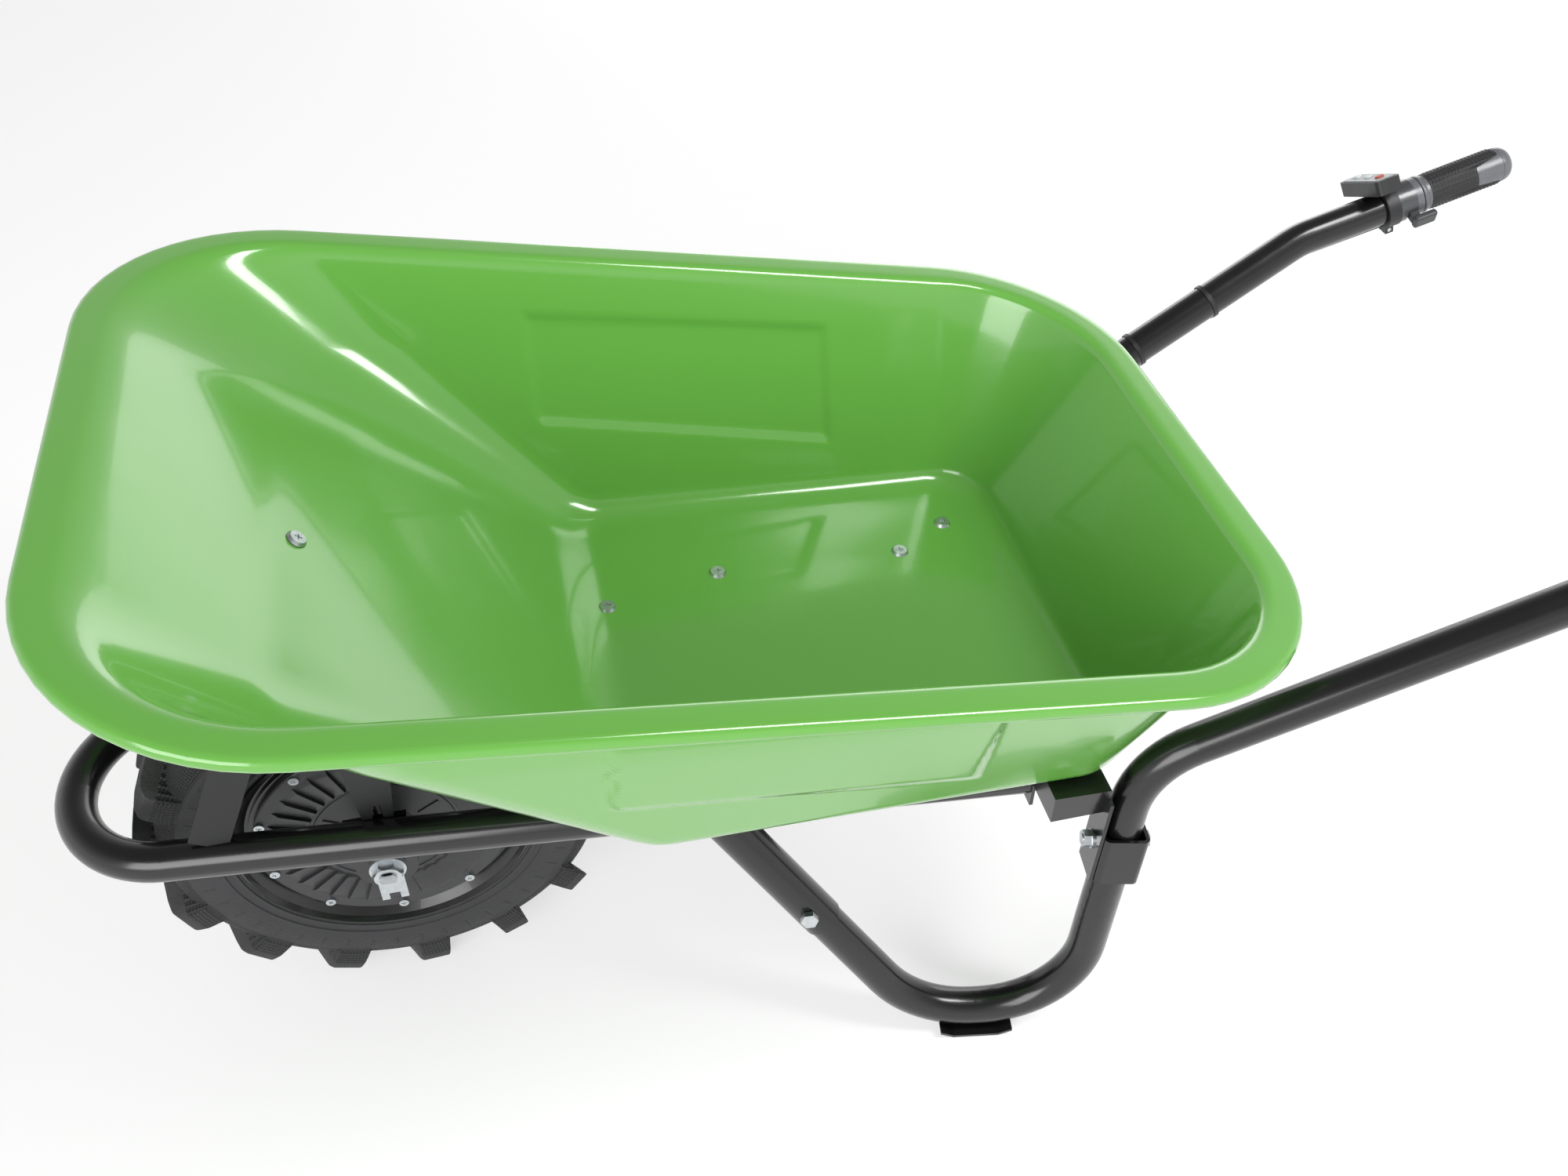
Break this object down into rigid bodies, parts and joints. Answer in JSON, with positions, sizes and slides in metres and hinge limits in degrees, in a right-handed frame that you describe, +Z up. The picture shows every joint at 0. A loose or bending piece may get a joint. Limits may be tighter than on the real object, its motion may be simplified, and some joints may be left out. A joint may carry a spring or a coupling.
{
  "type": "wheelbarrow",
  "caption": "Motor-driven wheelbarrow: deep pressed tray on a bent tube frame with one hub-motor wheel, two U legs and a thumb throttle.",
  "frame": {"origin": "middle of the overall box, on the ground under the wheel and the feet", "axes": "+X back along the barrow to the handle ends, +Y to the operator's right, +Z up"},
  "size_m": [1.3812, 0.5894, 0.611],
  "materials": {
    "green_paint": "gloss light green baked enamel on pressed sheet",
    "zinc": "bright zinc plate",
    "black_coat": "gloss black powder coat",
    "flat_black": "satin black powder coat",
    "bright_steel": "turned bright steel",
    "rim_black": "satin black stoved paint",
    "tyre_rubber": "black tyre rubber",
    "hub_black": "black painted casting",
    "magnet": "nickel-plated magnets",
    "core_steel": "stacked electrical sheet",
    "copper": "enamelled copper wire",
    "cable_black": "matt black cable sheath",
    "black_plastic": "textured black nylon",
    "grey_plastic": "dark grey moulded plastic",
    "controller_aluminium": "plain extruded",
    "rocker_red": "gloss red",
    "face_grey": "printed light grey film",
    "button_grey": "soft grey key",
    "silver_plastic": "silver grey moulded plastic",
    "lever_grey": "grey moulded plastic",
    "grip_grey": "light grey moulded core",
    "grip_rubber": "ribbed dark soft rubber",
    "tie_black": "black nylon tie"
  },
  "bodies": {
    "chassis": {"tray": "green_paint", "tray_bolts": "zinc", "tray_nuts": "zinc", "frame_loop": "black_coat", "front_brace": "flat_black", "front_cross_member": "black_coat", "rear_cross_member": "black_coat", "handle_leg_left": "black_coat", "handle_leg_right": "black_coat", "leg_stubs": "black_coat", "stub_bolts": "zinc", "stub_nuts": "zinc", "leg_brackets": "black_coat", "bracket_bolts": "zinc", "bracket_nuts": "zinc", "foot_plates": "black_coat", "axle_plates": "black_coat", "torque_washers": "zinc", "axle": "bright_steel", "axle_spacers": "bright_steel", "axle_nuts": "zinc", "stator_core": "core_steel", "stator_windings": "copper", "cable_guard": "flat_black", "motor_cable": "cable_black", "battery_box": "black_coat", "box_hinge_pin": "zinc", "battery_packs": "black_plastic", "battery_dock": "grey_plastic", "motor_controller": "controller_aluminium", "power_switch_frame": "black_plastic", "control_housing": "grey_plastic", "control_face": "face_grey", "clamp_screw": "zinc", "throttle_housing": "silver_plastic", "throttle_spring": "bright_steel", "throttle_collar": "silver_plastic", "grip_core_left": "grip_grey", "grip_core_right": "grip_grey", "grip_pad_left": "grip_rubber", "grip_pad_right": "grip_rubber", "control_cable": "cable_black", "cable_ties": "tie_black"},
    "wheel": {"wheel_rim": "rim_black", "tyre": "tyre_rubber", "hub_cover_left": "hub_black", "hub_cover_right": "hub_black", "cover_screws": "zinc", "wheel_bearings": "bright_steel", "rotor_magnets": "magnet"},
    "throttle": {"throttle_lever": "lever_grey"},
    "button_up": {"button_up": "button_grey"},
    "button_down": {"button_down": "button_grey"},
    "button_reverse": {"button_reverse": "button_grey"},
    "box_door": {"box_door": "black_plastic"},
    "power_rocker": {"power_rocker": "rocker_red"}
  },
  "joints": [
    {"name": "wheel_spin", "type": "hinge", "parent": "chassis", "child": "wheel", "pos_m": [-0.43956, 0, 0.2], "axis": [0, 1, 0], "continuous": true},
    {"name": "throttle_turn", "type": "hinge", "parent": "chassis", "child": "throttle", "pos_m": [0.58742, 0.245, 0.51098], "axis": [0.9594, 0, 0.2821], "range_deg": [0, 35], "stiffness_Nm_per_rad": 0.2, "springref_deg": -17.19},
    {"name": "button_up_press", "type": "slide", "parent": "chassis", "child": "button_up", "axis": [0.2467, -0.4848, -0.8391], "range_m": [0, 0.0012], "stiffness_N_per_m": 500, "springref_m": -0.001},
    {"name": "button_down_press", "type": "slide", "parent": "chassis", "child": "button_down", "axis": [0.2467, -0.4848, -0.8391], "range_m": [0, 0.0012], "stiffness_N_per_m": 500, "springref_m": -0.001},
    {"name": "button_reverse_press", "type": "slide", "parent": "chassis", "child": "button_reverse", "axis": [0.2467, -0.4848, -0.8391], "range_m": [0, 0.0012], "stiffness_N_per_m": 500, "springref_m": -0.001},
    {"name": "door_hinge", "type": "hinge", "parent": "chassis", "child": "box_door", "pos_m": [0.06494, 0.087, 0.2], "axis": [0, 0, 1], "range_deg": [0, 100]},
    {"name": "rocker_tilt", "type": "hinge", "parent": "chassis", "child": "power_rocker", "pos_m": [0.01544, -0.077, 0.248], "axis": [0, 0, 1], "range_deg": [-8, 8]}
  ]
}
